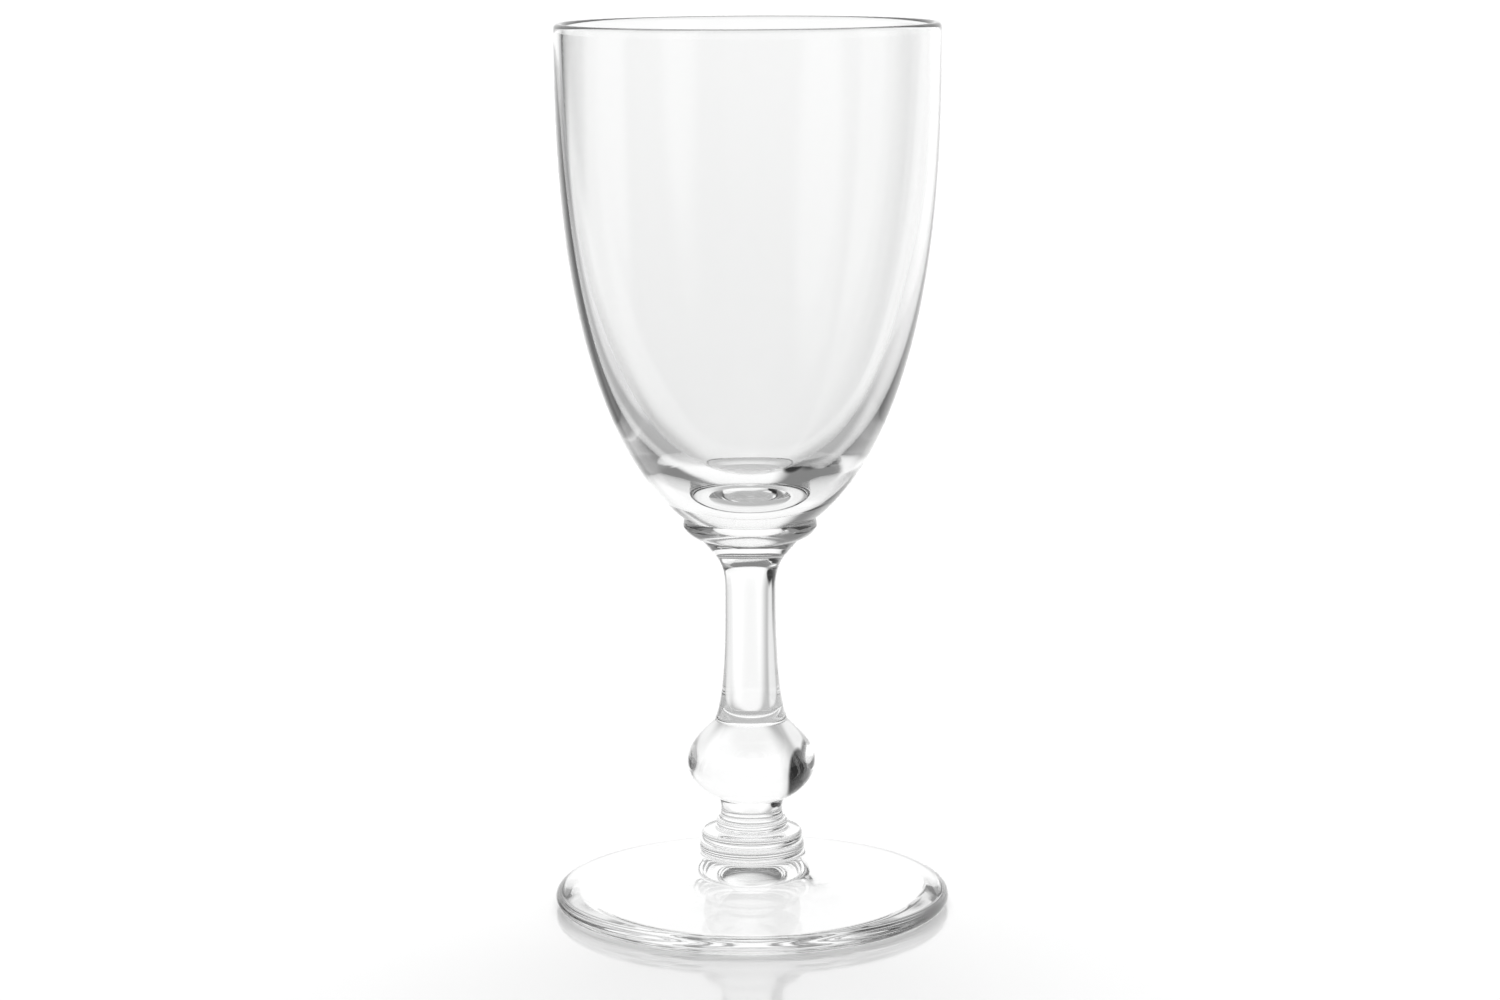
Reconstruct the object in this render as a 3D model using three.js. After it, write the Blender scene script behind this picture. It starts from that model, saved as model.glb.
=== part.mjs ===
// A stemmed red wine glass in clear crystal, in millimetres, with +Z up.
// The origin is the middle of the ring that the foot stands on.
//
// The glass is built up hot, one gather set on another, so each piece is a turned solid that meets its
// neighbours in flat, round joints. Heights stack from the table up: a piece that grows lifts those above it.
import * as THREE from 'three';

// Foot: a shallow cone with a rounded edge, domed underneath and standing on a flat ring
const FOOT_RADIUS = 33.7;
const FOOT_EDGE_HEIGHT = 3;
const FOOT_EDGE_ROUND = 2.1;
const FOOT_HEIGHT = 9;
const FOOT_FILLET_RADIUS = 1.2;
const FOOT_FILLET_HEIGHT = 0.6;
const REST_RING_WIDTH = 3.1;
const KICK_DEPTH = 4.5;
const KICK_CROWN_RADIUS = 10;

// Two flat discs on the foot
const LOWER_MERESE_RADIUS = 8.95;
const LOWER_MERESE_HEIGHT = 2;
const UPPER_MERESE_RADIUS = 8.6;
const UPPER_MERESE_EDGE_HEIGHT = 1.9;
const UPPER_MERESE_SLOPE_HEIGHT = 0.6;
const MERESE_EDGE_ROUND = 0.5;

// Neck under the ball, standing on a small bead
const NECK_RING_RADIUS = 6.1;
const NECK_RING_HEIGHT = 1.4;
const NECK_RING_EDGE_ROUND = 0.45;
const NECK_FOOT_RADIUS = 5.55;
const NECK_WAIST_RADIUS = 5.2;
const NECK_HEIGHT = 3.6;

// Flattened ball: round below its widest, with a sloping shoulder above
const KNOP_RADIUS = 10.85;
const KNOP_BELLY_HEIGHT = 6.4;
const KNOP_SHOULDER_HEIGHT = 7.2;
const KNOP_LOWER_JOINT_RADIUS = 5.6;
const KNOP_UPPER_JOINT_RADIUS = 6.1;

// Stem, flared at both ends
const STEM_HEIGHT = 31.3;
const STEM_FOOT_RADIUS = 6.2;
const STEM_FOOT_FLARE = 20;
const STEM_WAIST_RADIUS = 4.28;
const STEM_HEAD_RADIUS = 8.3;
const STEM_HEAD_FLARE = 9;

// Collar between stem and bowl
const COLLAR_RADIUS = 11.3;
const COLLAR_HEIGHT = 3.5;
const COLLAR_LIP_HEIGHT = 1.2;

// Bowl: an egg curve outside and a shallower one inside, so the wall thickens from the round lip to the floor
const BOWL_RADIUS = 32.07;
const BOWL_HEIGHT = 83.1;
const BOWL_SEAT_RADIUS = 10.9;
const BOWL_FLOOR = 5.8;
const RIM_WALL = 1.5;
const OUTSIDE_FULLNESS = { depth: 2.613, radius: 2 };
const INSIDE_FULLNESS = { depth: 2.3, radius: 2.2 };

// Fineness of the turned solids
const SEGMENTS = 48;
const CURVE_STEPS = 5;
const BOWL_STEPS = 18;

// Levels of the joints, stacked from the table up
const footTop = FOOT_HEIGHT;
const lowerMereseTop = footTop + LOWER_MERESE_HEIGHT;
const upperMereseTop = lowerMereseTop + UPPER_MERESE_EDGE_HEIGHT + UPPER_MERESE_SLOPE_HEIGHT;
const neckRingTop = upperMereseTop + NECK_RING_HEIGHT;
const neckTop = neckRingTop + NECK_HEIGHT;
const knopTop = neckTop + KNOP_BELLY_HEIGHT + KNOP_SHOULDER_HEIGHT;
const stemTop = knopTop + STEM_HEIGHT;
const collarTop = stemTop + COLLAR_HEIGHT;
const rim = collarTop + BOWL_HEIGHT;

// Clear crystal. Tooled glass is a little less smooth than blown glass.
const BLOWN = 0.02;
const TOOLED = 0.05;

function crystal(roughness) {
  return new THREE.MeshStandardMaterial({
    color: 0xf2f5f5,
    roughness,
    metalness: 0,
    transparent: true,
    opacity: 0.35,
  });
}

// A solid turned about +Z. Its half section runs from the lower pole, round the outside, to the upper pole.
function turned(name, points, roughness) {
  const geometry = new THREE.LatheGeometry(points, SEGMENTS);
  geometry.rotateX(Math.PI / 2);
  const mesh = new THREE.Mesh(geometry, crystal(roughness));
  mesh.name = name;
  return mesh;
}

// A worked piece between two flat joints. drawSide carries the path from the lower joint's edge to the upper's.
function worked(name, bottom, lowerRadius, drawSide, top) {
  const path = new THREE.Path();
  path.moveTo(0, bottom);
  path.lineTo(lowerRadius, bottom);
  drawSide(path);
  path.lineTo(0, top);
  return turned(name, path.getPoints(CURVE_STEPS), TOOLED);
}

// The rounded edge of a disc: two quarter ellipses that meet at its widest, half way up.
function roundEdge(path, radius, round, bottom, top) {
  const halfHeight = (top - bottom) / 2;
  path.absellipse(radius - round, bottom + halfHeight, round, halfHeight, -Math.PI / 2, Math.PI / 2, false);
}

function makeFoot() {
  const ringOuter = FOOT_RADIUS - FOOT_EDGE_ROUND;
  const ringInner = ringOuter - REST_RING_WIDTH;
  const filletFoot = new THREE.Vector2(LOWER_MERESE_RADIUS + FOOT_FILLET_RADIUS, footTop - FOOT_FILLET_HEIGHT);
  const slope = (filletFoot.y - FOOT_EDGE_HEIGHT) / (ringOuter - filletFoot.x);
  // The edge is an ellipse that ends where its tangent lies along the cone of the foot's top.
  const edgeHalf = FOOT_EDGE_HEIGHT / 2;
  const edgeEnd = Math.atan2(edgeHalf, FOOT_EDGE_ROUND * slope);
  const path = new THREE.Path();
  path.moveTo(0, KICK_DEPTH);
  path.quadraticCurveTo(KICK_CROWN_RADIUS, KICK_DEPTH, ringInner, 0);
  path.lineTo(ringOuter, 0);
  path.absellipse(ringOuter, edgeHalf, FOOT_EDGE_ROUND, edgeHalf, -Math.PI / 2, edgeEnd, false);
  path.lineTo(filletFoot.x, filletFoot.y);
  path.quadraticCurveTo(
    LOWER_MERESE_RADIUS, filletFoot.y + slope * FOOT_FILLET_RADIUS,
    LOWER_MERESE_RADIUS, footTop,
  );
  path.lineTo(0, footTop);
  return turned('foot', path.getPoints(CURVE_STEPS), TOOLED);
}

function makeLowerMerese() {
  const joint = LOWER_MERESE_RADIUS - MERESE_EDGE_ROUND;
  const side = (path) => roundEdge(path, LOWER_MERESE_RADIUS, MERESE_EDGE_ROUND, footTop, lowerMereseTop);
  return worked('lower_merese', footTop, joint, side, lowerMereseTop);
}

function makeUpperMerese() {
  const joint = UPPER_MERESE_RADIUS - MERESE_EDGE_ROUND;
  const edgeTop = lowerMereseTop + UPPER_MERESE_EDGE_HEIGHT;
  const side = (path) => {
    roundEdge(path, UPPER_MERESE_RADIUS, MERESE_EDGE_ROUND, lowerMereseTop, edgeTop);
    path.quadraticCurveTo(NECK_RING_RADIUS, edgeTop, NECK_RING_RADIUS, upperMereseTop);
  };
  return worked('upper_merese', lowerMereseTop, joint, side, upperMereseTop);
}

function makeNeckRing() {
  const joint = NECK_RING_RADIUS - NECK_RING_EDGE_ROUND;
  const side = (path) => roundEdge(path, NECK_RING_RADIUS, NECK_RING_EDGE_ROUND, upperMereseTop, neckRingTop);
  return worked('neck_ring', upperMereseTop, joint, side, neckRingTop);
}

// The neck's side is a parabola through its two joints and its waist, half way up.
function makeNeck() {
  const handle = 2 * NECK_WAIST_RADIUS - (NECK_FOOT_RADIUS + KNOP_LOWER_JOINT_RADIUS) / 2;
  const middle = (neckRingTop + neckTop) / 2;
  const side = (path) => path.quadraticCurveTo(handle, middle, KNOP_LOWER_JOINT_RADIUS, neckTop);
  return worked('neck', neckRingTop, NECK_FOOT_RADIUS, side, neckTop);
}

// The ball's belly is part of an ellipsoid. Its shoulder starts upright and ends in a slope that the stem's foot takes up.
function makeBallKnop() {
  const lowerAngle = Math.acos(KNOP_LOWER_JOINT_RADIUS / KNOP_RADIUS);
  const halfHeight = KNOP_BELLY_HEIGHT / Math.sin(lowerAngle);
  const widest = neckTop + KNOP_BELLY_HEIGHT;
  const spread = KNOP_RADIUS - KNOP_UPPER_JOINT_RADIUS;
  const side = (path) => {
    path.absellipse(0, widest, KNOP_RADIUS, halfHeight, -lowerAngle, 0, false);
    path.bezierCurveTo(
      KNOP_RADIUS, widest + KNOP_SHOULDER_HEIGHT * 0.39,
      KNOP_UPPER_JOINT_RADIUS + spread * 0.55, widest + KNOP_SHOULDER_HEIGHT * 0.64,
      KNOP_UPPER_JOINT_RADIUS, knopTop,
    );
  };
  return worked('ball_knop', neckTop, KNOP_LOWER_JOINT_RADIUS, side, knopTop);
}

// The stem's lower end spreads slowly on to the ball, and its head opens in a short funnel.
function makeStem() {
  const flareTop = knopTop + STEM_FOOT_FLARE;
  const funnelFoot = stemTop - STEM_HEAD_FLARE;
  const footSpread = STEM_FOOT_RADIUS - STEM_WAIST_RADIUS;
  const headSpread = STEM_HEAD_RADIUS - STEM_WAIST_RADIUS;
  const side = (path) => {
    path.bezierCurveTo(
      STEM_WAIST_RADIUS + footSpread / 3, knopTop + STEM_FOOT_FLARE / 7,
      STEM_WAIST_RADIUS, knopTop + STEM_FOOT_FLARE / 2,
      STEM_WAIST_RADIUS, flareTop,
    );
    path.lineTo(STEM_WAIST_RADIUS, funnelFoot);
    path.bezierCurveTo(
      STEM_WAIST_RADIUS, funnelFoot + STEM_HEAD_FLARE / 2,
      STEM_WAIST_RADIUS + headSpread / 7, stemTop - STEM_HEAD_FLARE * 0.42,
      STEM_HEAD_RADIUS, stemTop,
    );
  };
  return worked('stem', knopTop, STEM_FOOT_RADIUS, side, stemTop);
}

// The collar's underside sweeps out from the stem's head to its widest, below a short lip under the bowl.
function makeBowlMerese() {
  const widest = collarTop - COLLAR_LIP_HEIGHT;
  const spread = COLLAR_RADIUS - STEM_HEAD_RADIUS;
  const drop = widest - stemTop;
  const lip = COLLAR_RADIUS - BOWL_SEAT_RADIUS;
  const side = (path) => {
    path.quadraticCurveTo(STEM_HEAD_RADIUS + spread * 0.75, stemTop + drop / 3, COLLAR_RADIUS, widest);
    path.absellipse(BOWL_SEAT_RADIUS, widest, lip, COLLAR_LIP_HEIGHT, 0, Math.PI / 2, false);
  };
  return worked('bowl_merese', stemTop, STEM_HEAD_RADIUS, side, collarTop);
}

// An egg curve from one depth below the rim to another: radius * (1 - (depth / reach) ^ p) ^ (1 / q).
function eggCurve(radius, reach, fullness, fromDepth, toDepth) {
  const fromTurn = Math.asin(fromDepth / reach);
  const toTurn = Math.asin(toDepth / reach);
  return Array.from({ length: BOWL_STEPS + 1 }, (_, step) => {
    const depth = reach * Math.sin(fromTurn + ((toTurn - fromTurn) * step) / BOWL_STEPS);
    const left = Math.max(0, 1 - (depth / reach) ** fullness.depth);
    return new THREE.Vector2(radius * left ** (1 / fullness.radius), rim - depth);
  });
}

function makeBowl() {
  const lip = RIM_WALL / 2;
  // The outer egg would close below the joint: its reach is the one that passes through the seat's edge.
  const seatShare = 1 - (BOWL_SEAT_RADIUS / BOWL_RADIUS) ** OUTSIDE_FULLNESS.radius;
  const outerReach = BOWL_HEIGHT / seatShare ** (1 / OUTSIDE_FULLNESS.depth);
  const innerReach = BOWL_HEIGHT - BOWL_FLOOR;
  const outside = eggCurve(BOWL_RADIUS, outerReach, OUTSIDE_FULLNESS, BOWL_HEIGHT, lip);
  const inside = eggCurve(BOWL_RADIUS - RIM_WALL, innerReach, INSIDE_FULLNESS, lip, innerReach);
  const round = new THREE.EllipseCurve(BOWL_RADIUS - lip, rim - lip, lip, lip, 0, Math.PI, false);
  const lipPoints = round.getPoints(CURVE_STEPS + 1).slice(1, -1);
  const pole = new THREE.Vector2(0, collarTop);
  return turned('bowl', [pole, ...outside, ...lipPoints, ...inside], BLOWN);
}

const glass = new THREE.Group();
glass.name = 'red_wine_glass';
glass.add(
  makeFoot(),
  makeLowerMerese(),
  makeUpperMerese(),
  makeNeckRing(),
  makeNeck(),
  makeBallKnop(),
  makeStem(),
  makeBowlMerese(),
  makeBowl(),
);

export default glass;
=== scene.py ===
"""A stemmed red wine glass in clear crystal, on a pale floor in soft studio light.

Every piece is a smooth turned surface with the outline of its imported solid. Where two gathers of glass are
fused, both faces of the joint are clear, so that light passes through the stem as through one body of glass.
"""

import math

import bpy
import numpy as np
from bpy.props import FloatProperty, FloatVectorProperty, IntProperty, PointerProperty
from mathutils import Matrix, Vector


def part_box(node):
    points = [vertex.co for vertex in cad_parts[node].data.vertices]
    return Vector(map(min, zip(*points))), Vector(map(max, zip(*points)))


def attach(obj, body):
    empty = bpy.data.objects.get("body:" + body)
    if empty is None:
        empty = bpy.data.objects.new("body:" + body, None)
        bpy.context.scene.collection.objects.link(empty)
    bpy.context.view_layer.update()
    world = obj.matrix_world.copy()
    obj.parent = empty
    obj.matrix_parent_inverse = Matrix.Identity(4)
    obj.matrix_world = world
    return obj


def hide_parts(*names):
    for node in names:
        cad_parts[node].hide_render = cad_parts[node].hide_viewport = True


bl_info = {
    "name": "Red wine glass",
    "version": (1, 0, 0),
    "blender": (4, 5, 0),
    "location": "3D View > Sidebar > Wine Glass",
    "description": "Dresses the packed wine glass in clear crystal and sets it in a bright studio",
    "category": "Object",
}

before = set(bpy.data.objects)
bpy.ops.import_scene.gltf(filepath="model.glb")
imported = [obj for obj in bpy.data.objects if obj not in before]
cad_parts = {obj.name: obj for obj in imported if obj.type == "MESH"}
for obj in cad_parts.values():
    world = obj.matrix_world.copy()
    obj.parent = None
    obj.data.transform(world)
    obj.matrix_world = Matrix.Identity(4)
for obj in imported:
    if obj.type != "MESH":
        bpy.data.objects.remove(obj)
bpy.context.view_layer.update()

MM = 0.001
LENGTH = {"subtype": "DISTANCE", "unit": "LENGTH", "precision": 5, "min": 0.0}
ANGLE = {"subtype": "ANGLE", "unit": "ROTATION"}
COLOUR = {"subtype": "COLOR", "size": 3, "min": 0.0, "max": 1.0}
SHARE = {"subtype": "FACTOR", "min": 0.0, "max": 1.0}

# Places of a piece's materials in its list of slots
CLEAR, JOINT = 0, 1

# Steps along the curves of the half sections
CURVE_STEPS = 48
FILLET_STEPS = 16
BELLY_STEPS = 40
CONE_STEPS = 24
RING_STEPS = 4
OUTSIDE_STEPS = 120
INSIDE_STEPS = 140

# Handles of the free curves, as shares of their height or spread
SHOULDER_RISE = 0.39
SHOULDER_SPREAD = 0.55
SHOULDER_BEND = 0.64
FUNNEL_BEND = 0.42
COLLAR_SPREAD = 0.75

# Edges that turn by more than this stay sharp
SHARP_ANGLE = math.radians(24)

# Stretch of the fine lines in the surface: upright in blown glass, and round the axis in tooled glass
BLOWN_LINES = (260, 260, 18)
TOOLED_LINES = (40, 40, 900)

# Height up to which the foot's ring is worn
WEAR_HEIGHT = 0.06 * MM

# Faint waves inside the bowl: share of their depth, count round the bowl, turn with depth, and start
WAVES = ((1, 5, 2, 0), (0.7, 9, -3, 1), (0.5, 14, 1, 2))

# The floor lies a hair under the rest ring, so that no two faces coincide
FLOOR_LEVEL = -0.2 * MM
FLOOR_HALF = 30.0
BACKDROP_RADIUS = 5.0
BACKDROP_HEIGHT = 5.0
BACKDROP_SIDES = 64

# Heights on the unit sphere between which the table's light fades into the dim room
TABLE_FADE = (-0.1, 0.28)

# Directions are squeezed by this before they are compared, so that patches of light stand upright
SQUEEZE = (1, 1, 0.6)

# Soft patches of light: azimuth, elevation, radius of the full part and of the end in degrees, and tone
SKY_PATCHES = (
    # A bright backdrop with a wing at its side, and their sheen on the table
    (10, 24, 30, 48, 1),
    (50, 14, 8, 20, 1),
    (0, -2, 6, 20, 1),
    (0, -28, 6, 20, 0.9),
    (50, -22, 2, 18, 0.85),
    # Screens for the other sides of the glass
    (-90, -4, 7, 15, 0.95),
    (-45, -25, 8, 16, 0.82),
    (135, -15, 9, 18, 0.94),
    # Black flags, which draw dark edges in the glass
    (-39, 9, 8, 12, 0),
    (-56, 8, 9, 15, 0),
)

# Light may bend through many walls, but a path that is mirrored on and on inside the glass ends dark
LIGHT_BOUNCES = 64
MIRROR_BOUNCES = 12

# Width of a full-frame sensor, in millimetres
SENSOR_WIDTH = 36


def level(node, top):
    """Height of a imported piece's lower or upper joint."""
    low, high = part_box(node)
    return high.z if top else low.z


def radius(node):
    """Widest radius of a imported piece."""
    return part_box(node)[1].x


# Sizes and finishes that a user would change


class WineGlassSizes(bpy.types.PropertyGroup):
    """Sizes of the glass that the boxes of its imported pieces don't give."""

    foot_edge_height: FloatProperty(
        name="Foot edge height", description="Height of the foot's rounded edge",
        default=3 * MM, **LENGTH)
    foot_edge_round: FloatProperty(
        name="Foot edge round", description="How far the foot's rounded edge stands out",
        default=2.1 * MM, **LENGTH)
    foot_fillet_radius: FloatProperty(
        name="Foot fillet radius", description="Width of the fillet up to the discs",
        default=1.2 * MM, **LENGTH)
    foot_fillet_height: FloatProperty(
        name="Foot fillet height", description="Height of the fillet up to the discs",
        default=0.6 * MM, **LENGTH)
    rest_ring_width: FloatProperty(
        name="Rest ring width", description="Width of the ring that stands on the table",
        default=3.1 * MM, **LENGTH)
    kick_depth: FloatProperty(
        name="Kick depth", description="Height of the dome under the foot",
        default=4.5 * MM, **LENGTH)
    kick_crown_radius: FloatProperty(
        name="Kick crown radius", description="Reach of the dome's flat crown",
        default=10 * MM, **LENGTH)
    merese_edge_round: FloatProperty(
        name="Disc edge round", description="How far a disc's rounded edge stands out",
        default=0.5 * MM, **LENGTH)
    merese_slope_height: FloatProperty(
        name="Disc slope height", description="Height of the upper disc's sloping top",
        default=0.6 * MM, **LENGTH)
    bead_edge_round: FloatProperty(
        name="Bead edge round", description="How far the bead's rounded edge stands out",
        default=0.45 * MM, **LENGTH)
    neck_foot_radius: FloatProperty(
        name="Neck foot radius", description="Radius of the neck where it leaves the bead",
        default=5.55 * MM, **LENGTH)
    neck_waist_radius: FloatProperty(
        name="Neck waist radius", description="Radius of the neck half way up",
        default=5.2 * MM, **LENGTH)
    ball_belly_height: FloatProperty(
        name="Ball belly height", description="Height of the ball below its widest",
        default=6.4 * MM, **LENGTH)
    ball_lower_joint: FloatProperty(
        name="Ball lower joint", description="Radius of the joint under the ball",
        default=5.6 * MM, **LENGTH)
    ball_upper_joint: FloatProperty(
        name="Ball upper joint", description="Radius of the joint on top of the ball",
        default=6.1 * MM, **LENGTH)
    stem_foot_radius: FloatProperty(
        name="Stem foot radius", description="Radius of the stem's spread lower end",
        default=6.2 * MM, **LENGTH)
    stem_foot_flare: FloatProperty(
        name="Stem foot flare", description="Height over which the stem's foot spreads",
        default=20 * MM, **LENGTH)
    stem_waist_radius: FloatProperty(
        name="Stem waist radius", description="Radius of the stem at its thinnest",
        default=4.28 * MM, **LENGTH)
    stem_head_flare: FloatProperty(
        name="Stem head flare", description="Height of the funnel at the stem's head",
        default=9 * MM, **LENGTH)
    collar_lip_height: FloatProperty(
        name="Collar lip height", description="Height of the collar's lip under the bowl",
        default=1.2 * MM, **LENGTH)
    bowl_seat_radius: FloatProperty(
        name="Bowl seat radius", description="Radius of the bowl's joint on the collar",
        default=10.9 * MM, **LENGTH)
    bowl_floor: FloatProperty(
        name="Bowl floor", description="Thickness of the glass under the wine",
        default=5.8 * MM, **LENGTH)
    rim_wall: FloatProperty(
        name="Rim wall", description="Thickness of the bowl's wall at the rim",
        default=1.5 * MM, **LENGTH)
    outside_depth_power: FloatProperty(
        name="Outside depth power", description="Power of the depth in the bowl's outer egg curve",
        default=2.613, min=1)
    outside_radius_power: FloatProperty(
        name="Outside radius power", description="Power of the radius in the bowl's outer egg curve",
        default=2, min=1)
    inside_depth_power: FloatProperty(
        name="Inside depth power", description="Power of the depth in the bowl's inner egg curve",
        default=2.3, min=1)
    inside_radius_power: FloatProperty(
        name="Inside radius power", description="Power of the radius in the bowl's inner egg curve",
        default=2.2, min=1)
    ripple_depth: FloatProperty(
        name="Ripple depth", description="Height of the faint waves that blowing leaves inside the bowl",
        default=0.03 * MM, **LENGTH)
    around: IntProperty(
        name="Steps around", description="Number of faces round each turned piece",
        default=192, min=12)


class WineGlassFinish(bpy.types.PropertyGroup):
    """How the crystal looks."""

    tint: FloatVectorProperty(
        name="Tint", description="Colour of light that has passed in and out of the glass",
        default=(0.965, 0.967, 0.966), **COLOUR)
    refraction: FloatProperty(
        name="Refraction", description="Refractive index of the crystal",
        default=1.55, min=1)
    ring_wear: FloatProperty(
        name="Ring wear", description="Roughness of the ring that the foot stands on",
        default=0.03, **SHARE)
    striae_depth: FloatProperty(
        name="Striae depth", description="Height of the fine upright lines in the blown glass",
        default=0.001 * MM, **LENGTH)
    tooling_depth: FloatProperty(
        name="Tooling depth", description="Height of the fine turned lines in the tooled glass",
        default=0.0004 * MM, **LENGTH)


class WineGlassStudio(bpy.types.PropertyGroup):
    """Floor, light and camera."""

    light: FloatProperty(
        name="Light", description="Brightness of the white screens, to which other levels are relative",
        default=1.12, min=0)
    table_level: FloatProperty(
        name="Table level", description="Level of the table as the glass sees it",
        default=0.47, **SHARE)
    room_level: FloatProperty(
        name="Room level", description="Level of the dim room above the table",
        default=0.2, **SHARE)
    lamp_strength: FloatProperty(
        name="Lamp strength", description="Strength of the lamp that lights the floor",
        default=1.6, min=0)
    lamp_width: FloatProperty(
        name="Lamp width", description="How wide the lamp looks from the floor",
        default=math.radians(50), **ANGLE)
    lamp_tilt: FloatProperty(
        name="Lamp tilt", description="How far the lamp leans back from overhead",
        default=math.radians(25), **ANGLE)
    backdrop_level: FloatProperty(
        name="Backdrop level", description="Brightness of the backdrop behind the floor",
        default=1.1, min=0)
    floor_colour: FloatVectorProperty(
        name="Floor colour", description="Colour of the floor",
        default=(0.8, 0.8, 0.8), **COLOUR)
    floor_glow: FloatProperty(
        name="Floor glow", description="Light that the floor gives off, as a lit table does",
        default=0.33, min=0)
    floor_gloss: FloatProperty(
        name="Floor gloss", description="Refractive index of the floor's polish",
        default=2.0, min=1)
    floor_roughness: FloatProperty(
        name="Floor roughness", description="How blurred the floor's reflections are",
        default=0.08, **SHARE)
    camera_distance: FloatProperty(
        name="Camera distance", description="How far the camera stands in front of the glass",
        default=0.5895, **LENGTH)
    camera_height: FloatProperty(
        name="Camera height", description="Height of the camera above the table",
        default=0.1711, **LENGTH)
    camera_tilt: FloatProperty(
        name="Camera tilt", description="How far the camera looks down",
        default=math.radians(9.735), **ANGLE)
    camera_roll: FloatProperty(
        name="Camera roll", description="How far the camera leans to its right",
        default=math.radians(0.32), **ANGLE)
    lens: FloatProperty(
        name="Lens", description="Focal length on a full-frame sensor, in millimetres",
        default=85.0, min=1, unit="CAMERA")


# Curves of the half sections, as arrays of (radius, height)


def straight(start, end, steps=1):
    """Points evenly along the line from start to end."""
    share = np.linspace(0, 1, steps + 1)[:, None]
    return np.asarray(start) * (1 - share) + np.asarray(end) * share


def bezier(*handles, steps=32):
    """Bezier curve: neighbouring handles are mixed by the share of the way gone, until one is left."""
    share = np.linspace(0, 1, steps + 1)[:, None]
    points = [np.asarray(handle, dtype=float) for handle in handles]
    while len(points) > 1:
        points = [a * (1 - share) + b * share for a, b in zip(points[:-1], points[1:])]
    return points[0]


def ellipse_arc(centre, radii, start, end, steps=24):
    """Points of an ellipse from one angle to another: centre plus radii times (cosine, sine)."""
    angle = np.linspace(start, end, steps + 1)
    return np.asarray(centre) + np.asarray(radii) * np.stack([np.cos(angle), np.sin(angle)], axis=1)


def rounded_edge(joint, edge_round, bottom, top):
    """A disc's edge: half an ellipse that stands out from the joint's radius, widest half way up."""
    half_height = (top - bottom) / 2
    return ellipse_arc((joint, bottom + half_height), (edge_round, half_height), -math.pi / 2, math.pi / 2)


def egg_curve(widest, reach, powers, rim, depths):
    """Egg curve with the powers (p, q).

    At a depth below the rim its radius is widest * (1 - (depth / reach) ^ p) ^ (1 / q).
    """
    depth_power, radius_power = powers
    left = np.clip(1 - (depths / reach) ** depth_power, 0, 1)
    return np.stack([widest * left ** (1 / radius_power), rim - depths], axis=1)


def egg_depths(reach, start, end, steps):
    """Depths that crowd together near the egg's end: reach times the sine of evenly spaced angles."""
    return reach * np.sin(np.linspace(math.asin(start / reach), math.asin(min(end / reach, 1)), steps + 1))


# Turned pieces


def half_section(*runs):
    """Joins runs of (points, slot) end to end.

    Returns the points and the slot of each step between two of them.
    """
    points = [runs[0][0][:1]]
    slots = []
    for run, slot in runs:
        steps = run[1:] if np.allclose(run[0], points[-1][-1], atol=1e-9) else run
        points.append(steps)
        slots.append(np.full(len(steps), slot))
    return np.concatenate(points), np.concatenate(slots)


def turned_mesh(name, points, slots, around):
    """Turns a half section about the upright axis: the point (r, z) at angle a goes to (r cos a, r sin a, z).

    The section starts and ends on the axis, and each of these two poles is one vertex.
    """
    angle = np.linspace(0, 2 * math.pi, around, endpoint=False)
    r, z = points[1:-1].T[:, :, None]
    rings = np.stack([r * np.cos(angle), r * np.sin(angle), np.broadcast_to(z, (len(z), around))], axis=-1)
    return ring_mesh(name, points[0, 1], rings, points[-1, 1], slots)


def ring_mesh(name, lower_pole, rings, upper_pole, slots):
    """Closed mesh of stacked rings between two poles.

    Four-sided faces lie between the rings, and triangles round each pole.
    """
    count, around = rings.shape[:2]
    vertices = np.concatenate([[(0, 0, lower_pole)], rings.reshape(-1, 3), [(0, 0, upper_pole)]])
    here = np.arange(around)
    after = (here + 1) % around
    start = 1 + np.arange(count - 1)[:, None] * around
    quads = np.stack([start + here, start + after, start + around + after, start + around + here], axis=-1)
    last = 1 + (count - 1) * around
    lower_fan = np.stack([np.zeros(around, dtype=int), 1 + after, 1 + here], axis=-1)
    upper_fan = np.stack([last + here, last + after, np.full(around, len(vertices) - 1)], axis=-1)
    faces = [*lower_fan.tolist(), *quads.reshape(-1, 4).tolist(), *upper_fan.tolist()]
    mesh = bpy.data.meshes.new(name)
    mesh.from_pydata(vertices.tolist(), [], faces)
    mesh.polygons.foreach_set("material_index", np.repeat(slots, around).astype(np.int32))
    mesh.shade_smooth()
    mesh.set_sharp_from_angle(angle=SHARP_ANGLE)
    return mesh


def add_piece(node, mesh, crystal):
    """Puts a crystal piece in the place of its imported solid."""
    mesh.materials.append(crystal)
    mesh.materials.append(fused_joint())
    piece = bpy.data.objects.new(f"{node}_crystal", mesh)
    bpy.context.scene.collection.objects.link(piece)
    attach(piece, "root")
    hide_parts(node)


def worked_piece(node, lower_joint, lower_edge, side, upper_joint):
    """A tooled piece between two flat joints.

    Its section runs out along the lower joint, up the side, and in along the upper joint. The part of an end
    that stands out past its neighbour's joint is bare glass.
    """
    sizes = bpy.context.scene.wine_glass_sizes
    bottom, top = side[0, 1], side[-1, 1]
    runs = [(straight((0, bottom), (lower_joint, bottom)), JOINT)]
    if lower_edge > lower_joint:
        runs.append((straight((lower_joint, bottom), (lower_edge, bottom)), CLEAR))
    runs.append((side, CLEAR))
    if side[-1, 0] > upper_joint:
        runs.append((straight((side[-1, 0], top), (upper_joint, top)), CLEAR))
    runs.append((straight((upper_joint, top), (0, top)), JOINT))
    points, slots = half_section(*runs)
    add_piece(node, turned_mesh(node, points, slots, sizes.around), tooled_glass())


# Finishes


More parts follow.
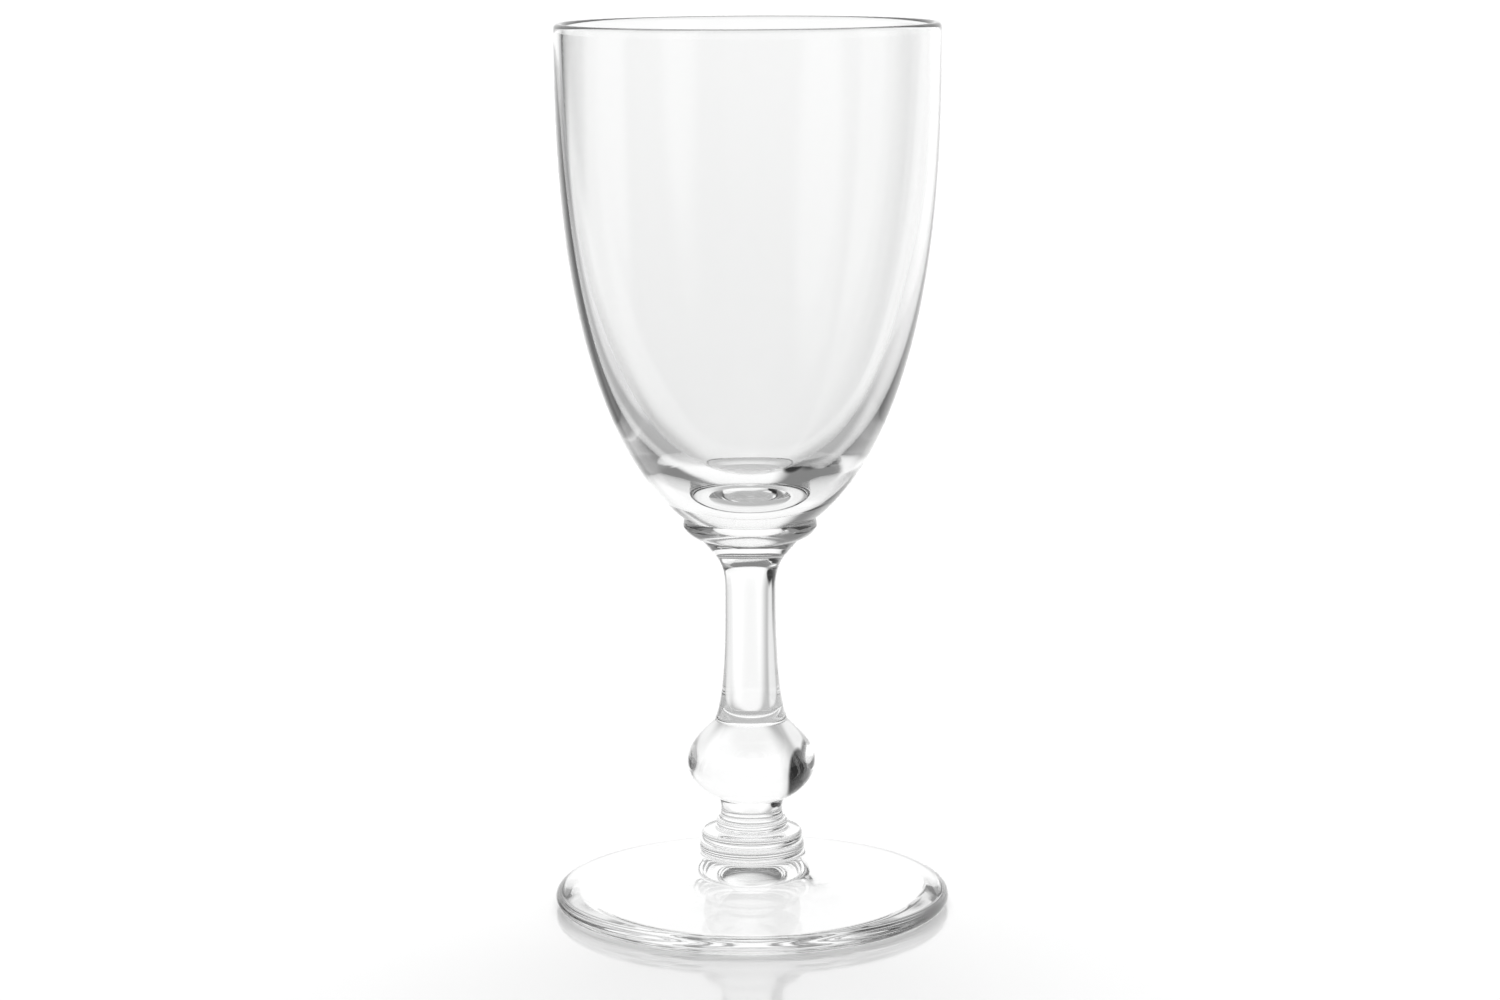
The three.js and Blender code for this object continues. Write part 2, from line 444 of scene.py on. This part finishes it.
def new_material(name):
    """An empty node material with its output, or None where it is made already."""
    if name in bpy.data.materials:
        return None
    material = bpy.data.materials.new(name)
    material.use_nodes = True
    material.node_tree.nodes.clear()
    material.node_tree.nodes.new("ShaderNodeOutputMaterial")
    return material


def crystal_shader(material):
    """Clear glass: all light goes through, bent by the crystal's index and tinted a little."""
    finish = bpy.context.scene.wine_glass_finish
    tree = material.node_tree
    shader = tree.nodes.new("ShaderNodeBsdfPrincipled")
    shader.inputs["Base Color"].default_value = (*finish.tint, 1)
    shader.inputs["Roughness"].default_value = 0.0
    shader.inputs["IOR"].default_value = finish.refraction
    shader.inputs["Transmission Weight"].default_value = 1.0
    tree.links.new(shader.outputs["BSDF"], tree.nodes["Material Output"].inputs["Surface"])
    return shader


def add_lines(material, shader, scale, depth):
    """Fine lines in the surface: noise stretched along one direction by the scale, as bumps of that depth."""
    nodes, links = material.node_tree.nodes, material.node_tree.links
    place = nodes.new("ShaderNodeTexCoord")
    stretch = nodes.new("ShaderNodeMapping")
    stretch.inputs["Scale"].default_value = scale
    noise = nodes.new("ShaderNodeTexNoise")
    noise.inputs["Scale"].default_value = 1.0
    noise.inputs["Detail"].default_value = 1.0
    bump = nodes.new("ShaderNodeBump")
    bump.inputs["Strength"].default_value = 1.0
    bump.inputs["Distance"].default_value = depth
    links.new(place.outputs["Object"], stretch.inputs["Vector"])
    links.new(stretch.outputs["Vector"], noise.inputs["Vector"])
    links.new(noise.outputs["Fac"], bump.inputs["Height"])
    links.new(bump.outputs["Normal"], shader.inputs["Normal"])


def blown_glass():
    """Fire-polished crystal with faint upright striae, as blowing leaves them."""
    material = new_material("blown_glass")
    if material:
        shader = crystal_shader(material)
        add_lines(material, shader, BLOWN_LINES, bpy.context.scene.wine_glass_finish.striae_depth)
    return bpy.data.materials["blown_glass"]


def tooled_glass():
    """Crystal tooled while it turned, with fine rings round it, and worn where it stands on the table."""
    material = new_material("tooled_glass")
    if material:
        finish = bpy.context.scene.wine_glass_finish
        shader = crystal_shader(material)
        add_lines(material, shader, TOOLED_LINES, finish.tooling_depth)
        nodes, links = material.node_tree.nodes, material.node_tree.links
        place = nodes.new("ShaderNodeTexCoord")
        height = nodes.new("ShaderNodeSeparateXYZ")
        wear = nodes.new("ShaderNodeMapRange")
        wear.inputs["From Min"].default_value = 0.0
        wear.inputs["From Max"].default_value = WEAR_HEIGHT
        wear.inputs["To Min"].default_value = finish.ring_wear
        wear.inputs["To Max"].default_value = 0.0
        links.new(place.outputs["Object"], height.inputs["Vector"])
        links.new(height.outputs["Z"], wear.inputs["Value"])
        links.new(wear.outputs["Result"], shader.inputs["Roughness"])
    return bpy.data.materials["tooled_glass"]


def fused_joint():
    """The face between two gathers fused together, which light doesn't see."""
    material = new_material("fused_joint")
    if material:
        tree = material.node_tree
        through = tree.nodes.new("ShaderNodeBsdfTransparent")
        tree.links.new(through.outputs["BSDF"], tree.nodes["Material Output"].inputs["Surface"])
    return bpy.data.materials["fused_joint"]


# Operators, one for each piece or group of like pieces


class WINEGLASS_OT_foot(bpy.types.Operator):
    """Make the foot: a shallow cone with a rounded edge, domed underneath and standing on a flat ring"""

    bl_idname = "wineglass.foot"
    bl_label = "Foot"

    def execute(self, context):
        sizes = context.scene.wine_glass_sizes
        top = level("foot", top=True)
        disc = radius("lower_merese")
        ring_outer = radius("foot") - sizes.foot_edge_round
        ring_inner = ring_outer - sizes.rest_ring_width
        fillet = (disc + sizes.foot_fillet_radius, top - sizes.foot_fillet_height)
        slope = (fillet[1] - sizes.foot_edge_height) / (ring_outer - fillet[0])
        # The edge is an ellipse that ends where its tangent lies along the cone of the foot's top.
        edge_half = sizes.foot_edge_height / 2
        edge_end = math.atan2(edge_half, sizes.foot_edge_round * slope)
        edge_radii = (sizes.foot_edge_round, edge_half)
        edge = ellipse_arc((ring_outer, edge_half), edge_radii, -math.pi / 2, edge_end)
        crown = (sizes.kick_crown_radius, sizes.kick_depth)
        kick = bezier((0, sizes.kick_depth), crown, (ring_inner, 0), steps=CURVE_STEPS)
        bend = (disc, fillet[1] + slope * sizes.foot_fillet_radius)
        rise = bezier(fillet, bend, (disc, top), steps=FILLET_STEPS)
        joint = disc - sizes.merese_edge_round
        points, slots = half_section(
            (kick, CLEAR),
            (straight((ring_inner, 0), (ring_outer, 0), RING_STEPS), CLEAR),
            (edge, CLEAR),
            (straight(edge[-1], fillet, CONE_STEPS), CLEAR),
            (rise, CLEAR),
            (straight((disc, top), (joint, top)), CLEAR),
            (straight((joint, top), (0, top)), JOINT),
        )
        add_piece("foot", turned_mesh("foot", points, slots, sizes.around), tooled_glass())
        return {"FINISHED"}


class WINEGLASS_OT_discs(bpy.types.Operator):
    """Make the two discs on the foot and the bead under the neck"""

    bl_idname = "wineglass.discs"
    bl_label = "Discs and bead"

    def execute(self, context):
        sizes = context.scene.wine_glass_sizes
        lower_joint = radius("lower_merese") - sizes.merese_edge_round
        upper_joint = radius("upper_merese") - sizes.merese_edge_round
        bead = radius("neck_ring")
        bead_joint = bead - sizes.bead_edge_round
        foot_top = level("lower_merese", top=False)
        discs_meet = level("upper_merese", top=False)
        discs_top = level("upper_merese", top=True)
        bead_top = level("neck_ring", top=True)
        edge_top = discs_top - sizes.merese_slope_height

        side = rounded_edge(lower_joint, sizes.merese_edge_round, foot_top, discs_meet)
        worked_piece("lower_merese", lower_joint, lower_joint, side, upper_joint)

        edge = rounded_edge(upper_joint, sizes.merese_edge_round, discs_meet, edge_top)
        slope = bezier((upper_joint, edge_top), (bead, edge_top), (bead, discs_top), steps=FILLET_STEPS)
        side = np.concatenate([edge, slope[1:]])
        worked_piece("upper_merese", upper_joint, upper_joint, side, bead_joint)

        side = rounded_edge(bead_joint, sizes.bead_edge_round, discs_top, bead_top)
        worked_piece("neck_ring", bead_joint, bead_joint, side, sizes.neck_foot_radius)
        return {"FINISHED"}


class WINEGLASS_OT_neck(bpy.types.Operator):
    """Make the waisted neck under the ball"""

    bl_idname = "wineglass.neck"
    bl_label = "Neck"

    def execute(self, context):
        sizes = context.scene.wine_glass_sizes
        bottom, top = level("neck", top=False), level("neck", top=True)
        foot, head = sizes.neck_foot_radius, sizes.ball_lower_joint
        # A parabola through both joints and the waist
        handle = 2 * sizes.neck_waist_radius - (foot + head) / 2
        side = bezier((foot, bottom), (handle, (bottom + top) / 2), (head, top))
        worked_piece("neck", foot, foot, side, head)
        return {"FINISHED"}


class WINEGLASS_OT_ball(bpy.types.Operator):
    """Make the flattened ball, round below its widest, with a sloping shoulder above"""

    bl_idname = "wineglass.ball"
    bl_label = "Ball"

    def execute(self, context):
        sizes = context.scene.wine_glass_sizes
        bottom, top = level("ball_knop", top=False), level("ball_knop", top=True)
        ball = radius("ball_knop")
        lower, upper = sizes.ball_lower_joint, sizes.ball_upper_joint
        lower_angle = math.acos(lower / ball)
        widest = bottom + sizes.ball_belly_height
        half_height = sizes.ball_belly_height / math.sin(lower_angle)
        shoulder_height = top - widest
        belly = ellipse_arc((0, widest), (ball, half_height), -lower_angle, 0, steps=BELLY_STEPS)
        shoulder = bezier(
            (ball, widest),
            (ball, widest + shoulder_height * SHOULDER_RISE),
            (upper + (ball - upper) * SHOULDER_SPREAD, widest + shoulder_height * SHOULDER_BEND),
            (upper, top),
            steps=CURVE_STEPS,
        )
        worked_piece("ball_knop", lower, lower, np.concatenate([belly, shoulder[1:]]), upper)
        return {"FINISHED"}


class WINEGLASS_OT_stem(bpy.types.Operator):
    """Make the stem, which spreads on to the ball and opens in a funnel at its head"""

    bl_idname = "wineglass.stem"
    bl_label = "Stem"

    def execute(self, context):
        sizes = context.scene.wine_glass_sizes
        bottom, top = level("stem", top=False), level("stem", top=True)
        foot, waist, head = sizes.stem_foot_radius, sizes.stem_waist_radius, radius("stem")
        flare_top = bottom + sizes.stem_foot_flare
        funnel_foot = top - sizes.stem_head_flare
        spread = bezier(
            (foot, bottom),
            (waist + (foot - waist) / 3, bottom + sizes.stem_foot_flare / 7),
            (waist, bottom + sizes.stem_foot_flare / 2),
            (waist, flare_top),
            steps=CURVE_STEPS,
        )
        funnel = bezier(
            (waist, funnel_foot),
            (waist, funnel_foot + sizes.stem_head_flare / 2),
            (waist + (head - waist) / 7, top - sizes.stem_head_flare * FUNNEL_BEND),
            (head, top),
            steps=CURVE_STEPS,
        )
        side = np.concatenate([spread, funnel])
        worked_piece("stem", sizes.ball_upper_joint, foot, side, head)
        return {"FINISHED"}


class WINEGLASS_OT_collar(bpy.types.Operator):
    """Make the collar between the stem and the bowl"""

    bl_idname = "wineglass.collar"
    bl_label = "Collar"

    def execute(self, context):
        sizes = context.scene.wine_glass_sizes
        bottom, top = level("bowl_merese", top=False), level("bowl_merese", top=True)
        head, collar, seat = radius("stem"), radius("bowl_merese"), sizes.bowl_seat_radius
        widest = top - sizes.collar_lip_height
        under = bezier(
            (head, bottom),
            (head + (collar - head) * COLLAR_SPREAD, bottom + (widest - bottom) / 3),
            (collar, widest),
        )
        lip = ellipse_arc((seat, widest), (collar - seat, sizes.collar_lip_height), 0, math.pi / 2)
        worked_piece("bowl_merese", head, head, np.concatenate([under, lip[1:]]), seat)
        return {"FINISHED"}


class WINEGLASS_OT_bowl(bpy.types.Operator):
    """Make the bowl: an egg curve outside, a shallower one with faint waves inside, and a round lip"""

    bl_idname = "wineglass.bowl"
    bl_label = "Bowl"

    def execute(self, context):
        sizes = context.scene.wine_glass_sizes
        seat_level, rim = level("bowl", top=False), level("bowl", top=True)
        bowl, seat, lip = radius("bowl"), sizes.bowl_seat_radius, sizes.rim_wall / 2
        height = rim - seat_level
        outside = (sizes.outside_depth_power, sizes.outside_radius_power)
        inside = (sizes.inside_depth_power, sizes.inside_radius_power)
        # The outer egg would close below the joint: its reach is the one that passes through the seat's edge.
        outer_reach = height / (1 - (seat / bowl) ** outside[1]) ** (1 / outside[0])
        inner_reach = height - sizes.bowl_floor
        outer_depths = egg_depths(outer_reach, lip, height, OUTSIDE_STEPS)[::-1]
        inner_depths = egg_depths(inner_reach, lip, inner_reach, INSIDE_STEPS)
        points, slots = half_section(
            (straight((0, seat_level), (seat, seat_level)), JOINT),
            (egg_curve(bowl, outer_reach, outside, rim, outer_depths), CLEAR),
            (ellipse_arc((bowl - lip, rim - lip), (lip, lip), 0, math.pi, FILLET_STEPS), CLEAR),
            (egg_curve(bowl - sizes.rim_wall, inner_reach, inside, rim, inner_depths), CLEAR),
        )
        mesh = turned_mesh("bowl", points, slots, sizes.around)
        self.ripple(mesh, sizes, rim, inner_reach, first=len(points) - len(inner_depths))
        add_piece("bowl", mesh, blown_glass())
        return {"FINISHED"}

    @staticmethod
    def ripple(mesh, sizes, rim, reach, first):
        """Waves inside the bowl: the radius grows by depth * fade * (the sum of three cosines of the angle).

        The fade is the sine of half a turn from rim to floor, so that the lip and the floor stay round.
        """
        co = np.empty(len(mesh.vertices) * 3)
        mesh.vertices.foreach_get("co", co)
        co = co.reshape(-1, 3)
        inner = co[1 + (first - 1) * sizes.around:-1]
        angle = np.arctan2(inner[:, 1], inner[:, 0])
        share = (rim - inner[:, 2]) / reach
        wave = sum(size * np.cos(count * angle + turn * share + start) for size, count, turn, start in WAVES)
        grow = 1 + sizes.ripple_depth * np.sin(math.pi * share) * wave / np.hypot(inner[:, 0], inner[:, 1])
        inner[:, :2] *= grow[:, None]
        mesh.vertices.foreach_set("co", co.ravel())
        mesh.update()


class WINEGLASS_OT_studio(bpy.types.Operator):
    """Set the floor, the backdrop, the soft light and the camera"""

    bl_idname = "wineglass.studio"
    bl_label = "Studio"

    def execute(self, context):
        studio = context.scene.wine_glass_studio
        self.floor(context.scene, studio)
        self.backdrop(context.scene, studio)
        self.sky(context.scene, studio)
        self.lamp(context.scene, studio)
        self.camera(context.scene, studio)
        context.scene.view_settings.view_transform = "Standard"
        cycles = context.scene.cycles
        cycles.max_bounces = LIGHT_BOUNCES
        cycles.transmission_bounces = LIGHT_BOUNCES
        cycles.glossy_bounces = MIRROR_BOUNCES
        cycles.transparent_max_bounces = LIGHT_BOUNCES
        return {"FINISHED"}

    @staticmethod
    def floor(scene, studio):
        """A wide pale floor that glows and mirrors a little. The camera alone sees it."""
        mesh = bpy.data.meshes.new("floor")
        sides = ((-1, -1), (1, -1), (1, 1), (-1, 1))
        corners = [(x * FLOOR_HALF, y * FLOOR_HALF, FLOOR_LEVEL) for x, y in sides]
        mesh.from_pydata(corners, [], [(0, 1, 2, 3)])
        material = new_material("pale_floor")
        nodes, links = material.node_tree.nodes, material.node_tree.links
        matt = nodes.new("ShaderNodeBsdfDiffuse")
        matt.inputs["Color"].default_value = (*studio.floor_colour, 1)
        glow = nodes.new("ShaderNodeEmission")
        glow.inputs["Strength"].default_value = studio.floor_glow
        body = nodes.new("ShaderNodeAddShader")
        polish = nodes.new("ShaderNodeBsdfGlossy")
        polish.inputs["Color"].default_value = (1, 1, 1, 1)
        polish.inputs["Roughness"].default_value = studio.floor_roughness
        share = nodes.new("ShaderNodeFresnel")
        share.inputs["IOR"].default_value = studio.floor_gloss
        mix = nodes.new("ShaderNodeMixShader")
        links.new(matt.outputs["BSDF"], body.inputs[0])
        links.new(glow.outputs["Emission"], body.inputs[1])
        links.new(share.outputs["Fac"], mix.inputs["Fac"])
        links.new(body.outputs["Shader"], mix.inputs[1])
        links.new(polish.outputs["BSDF"], mix.inputs[2])
        links.new(mix.outputs["Shader"], nodes["Material Output"].inputs["Surface"])
        mesh.materials.append(material)
        floor = bpy.data.objects.new("floor", mesh)
        floor.visible_transmission = False
        floor.visible_glossy = False
        scene.collection.objects.link(floor)

    @staticmethod
    def backdrop(scene, studio):
        """A round white wall, for the camera and for reflections. Through the glass, the sky is seen."""
        sides = BACKDROP_SIDES
        turn = np.linspace(0, 2 * math.pi, sides, endpoint=False)
        ring = BACKDROP_RADIUS * np.stack([np.cos(turn), np.sin(turn)], axis=1)
        corners = [(*point, height) for height in (FLOOR_LEVEL, BACKDROP_HEIGHT) for point in ring]
        faces = [(k, (k + 1) % sides, sides + (k + 1) % sides, sides + k) for k in range(sides)]
        mesh = bpy.data.meshes.new("backdrop")
        mesh.from_pydata(corners, [], faces)
        material = new_material("white_backdrop")
        nodes, links = material.node_tree.nodes, material.node_tree.links
        glow = nodes.new("ShaderNodeEmission")
        glow.inputs["Strength"].default_value = studio.backdrop_level
        links.new(glow.outputs["Emission"], nodes["Material Output"].inputs["Surface"])
        mesh.materials.append(material)
        wall = bpy.data.objects.new("backdrop", mesh)
        wall.visible_transmission = False
        wall.visible_diffuse = False
        wall.visible_shadow = False
        scene.collection.objects.link(wall)

    def sky(self, scene, studio):
        """Light from all round: a grey table below and a dim room above, with soft patches laid over them."""
        world = bpy.data.worlds.new("studio")
        world.use_nodes = True
        tree = world.node_tree
        place = tree.nodes.new("ShaderNodeTexCoord")
        height = tree.nodes.new("ShaderNodeSeparateXYZ")
        squeeze = tree.nodes.new("ShaderNodeVectorMath")
        squeeze.operation = "MULTIPLY"
        squeeze.inputs[1].default_value = SQUEEZE
        normal = tree.nodes.new("ShaderNodeVectorMath")
        normal.operation = "NORMALIZE"
        tree.links.new(place.outputs["Generated"], height.inputs["Vector"])
        tree.links.new(place.outputs["Generated"], squeeze.inputs[0])
        tree.links.new(squeeze.outputs["Vector"], normal.inputs[0])
        way = normal.outputs["Vector"]
        levels = (studio.table_level, studio.room_level)
        brightness = self.step(tree, height.outputs["Z"], TABLE_FADE, levels)
        for *shape, tone in SKY_PATCHES:
            brightness = self.patch(tree, way, brightness, shape, tone)
        tree.links.new(brightness, tree.nodes["Background"].inputs["Color"])
        tree.nodes["Background"].inputs["Strength"].default_value = studio.light
        scene.world = world

    @staticmethod
    def step(tree, value, start_end, low_high):
        """A smooth step of a value, from low at its start to high at its end."""
        node = tree.nodes.new("ShaderNodeMapRange")
        node.interpolation_type = "SMOOTHSTEP"
        node.inputs["From Min"].default_value, node.inputs["From Max"].default_value = start_end
        node.inputs["To Min"].default_value, node.inputs["To Max"].default_value = low_high
        tree.links.new(value, node.inputs["Value"])
        return node.outputs["Result"]

    def patch(self, tree, way, brightness, shape, tone):
        """Lays a soft patch over the brightness: its share is a smooth step of the cosine to its middle."""
        azimuth, elevation, full, end = (math.radians(angle) for angle in shape)
        middle = np.array([math.sin(azimuth), math.cos(azimuth), math.tan(elevation)]) * SQUEEZE
        cosine = tree.nodes.new("ShaderNodeVectorMath")
        cosine.operation = "DOT_PRODUCT"
        cosine.inputs[1].default_value = middle / np.linalg.norm(middle)
        mix = tree.nodes.new("ShaderNodeMix")
        mix.inputs["B"].default_value = tone
        tree.links.new(way, cosine.inputs[0])
        share = self.step(tree, cosine.outputs["Value"], (math.cos(end), math.cos(full)), (0, 1))
        tree.links.new(share, mix.inputs["Factor"])
        tree.links.new(brightness, mix.inputs["A"])
        return mix.outputs["Result"]

    @staticmethod
    def lamp(scene, studio):
        """A broad lamp high behind the glass, for the floor alone, where the glass casts a soft shadow."""
        data = bpy.data.lights.new("lamp", "SUN")
        data.energy = studio.lamp_strength
        data.angle = studio.lamp_width
        lamp = bpy.data.objects.new("lamp", data)
        lamp.rotation_euler.x = -studio.lamp_tilt
        lamp.visible_glossy = False
        lamp.visible_transmission = False
        scene.collection.objects.link(lamp)

    @staticmethod
    def camera(scene, studio):
        """The camera stands in front of the glass, a little above its rim, and looks down."""
        data = bpy.data.cameras.new("camera")
        data.lens = studio.lens
        data.sensor_width = SENSOR_WIDTH
        camera = bpy.data.objects.new("camera", data)
        tip = Matrix.Rotation(math.pi / 2 - studio.camera_tilt, 3, "X")
        lean = Matrix.Rotation(-studio.camera_roll, 3, "Z")
        camera.rotation_euler = (tip @ lean).to_euler()
        camera.location = (0, -studio.camera_distance, studio.camera_height)
        scene.collection.objects.link(camera)
        scene.camera = camera


OPERATORS = (
    WINEGLASS_OT_foot,
    WINEGLASS_OT_discs,
    WINEGLASS_OT_neck,
    WINEGLASS_OT_ball,
    WINEGLASS_OT_stem,
    WINEGLASS_OT_collar,
    WINEGLASS_OT_bowl,
    WINEGLASS_OT_studio,
)


class WINEGLASS_PT_sidebar(bpy.types.Panel):
    """Lists the steps that make the wine glass and its studio"""

    bl_label = "Wine Glass"
    bl_idname = "WINEGLASS_PT_sidebar"
    bl_space_type = "VIEW_3D"
    bl_region_type = "UI"
    bl_category = "Wine Glass"

    def draw(self, context):
        for operator in OPERATORS:
            self.layout.operator(operator.bl_idname)


GROUPS = {
    "wine_glass_sizes": WineGlassSizes,
    "wine_glass_finish": WineGlassFinish,
    "wine_glass_studio": WineGlassStudio,
}


def register():
    for group in GROUPS.values():
        bpy.utils.register_class(group)
    for name, group in GROUPS.items():
        setattr(bpy.types.Scene, name, PointerProperty(type=group))
    for operator in OPERATORS:
        bpy.utils.register_class(operator)
    bpy.utils.register_class(WINEGLASS_PT_sidebar)


def unregister():
    bpy.utils.unregister_class(WINEGLASS_PT_sidebar)
    for operator in reversed(OPERATORS):
        bpy.utils.unregister_class(operator)
    for name, group in reversed(GROUPS.items()):
        delattr(bpy.types.Scene, name)
        bpy.utils.unregister_class(group)


def main():
    register()
    bpy.ops.wineglass.foot()
    bpy.ops.wineglass.discs()
    bpy.ops.wineglass.neck()
    bpy.ops.wineglass.ball()
    bpy.ops.wineglass.stem()
    bpy.ops.wineglass.collar()
    bpy.ops.wineglass.bowl()
    bpy.ops.wineglass.studio()


if __name__ == "__main__":
    main()
